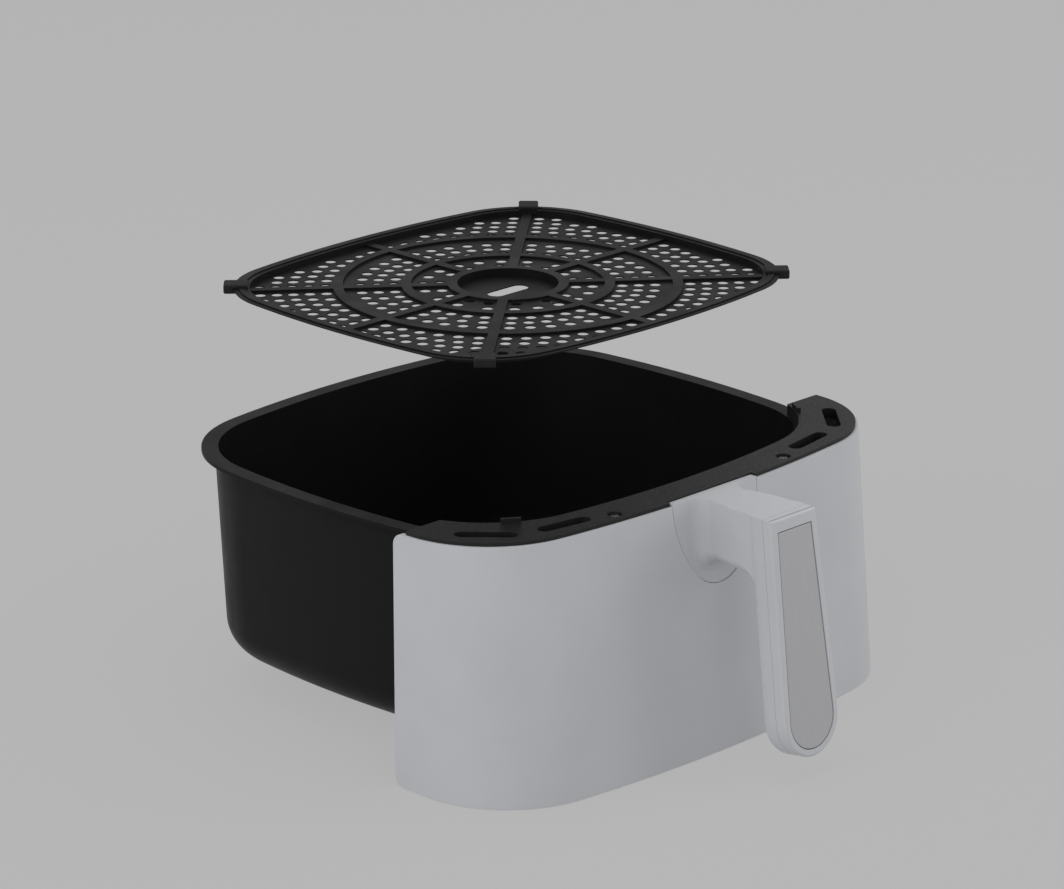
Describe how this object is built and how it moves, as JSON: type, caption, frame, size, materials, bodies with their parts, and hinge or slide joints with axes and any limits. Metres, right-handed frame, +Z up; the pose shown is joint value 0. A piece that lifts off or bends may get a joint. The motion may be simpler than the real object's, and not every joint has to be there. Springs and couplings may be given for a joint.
{
  "type": "air fryer drawer",
  "caption": "Air-fryer drawer: dark coated pan with a white wrap-round front and fixed handle, and a perforated crisper plate that lifts out of the pan.",
  "frame": {"origin": "middle of the pan's flat base, on its underside", "axes": "+Z up out of the pan, -Y towards the front panel and handle, +X to the right seen from behind the handle"},
  "size_m": [0.245, 0.2754, 0.173],
  "materials": {
    "nonstick_steel": "satin non-stick coat",
    "nonstick_plate": "satin non-stick coat",
    "white_plastic": "semi-gloss",
    "black_plastic": "fine matte grain",
    "silver_inlay": "satin silver",
    "bumper_silicone": "matte",
    "screw_steel": "zinc plated",
    "insert_brass": "turned"
  },
  "bodies": {
    "drawer": {"pan": "nonstick_steel", "pan_screws": "screw_steel", "pan_washers": "bumper_silicone", "pan_spacers": "screw_steel", "front_panel": "white_plastic", "panel_liner": "black_plastic", "liner_screws": "screw_steel", "bottom_cover": "black_plastic", "top_trim": "black_plastic", "trim_screws": "screw_steel", "handle": "white_plastic", "handle_inserts": "insert_brass", "grip_cover": "white_plastic", "grip_inlay": "silver_inlay", "grip_screws": "screw_steel"},
    "crisper": {"crisper_plate": "nonstick_plate", "bumper_front_left": "bumper_silicone", "bumper_front_right": "bumper_silicone", "bumper_rear_left": "bumper_silicone", "bumper_rear_right": "bumper_silicone"}
  },
  "joints": [
    {"name": "plate_lift", "type": "slide", "parent": "drawer", "child": "crisper", "axis": [0, 0, 1], "range_m": [-0.136, 0]}
  ]
}
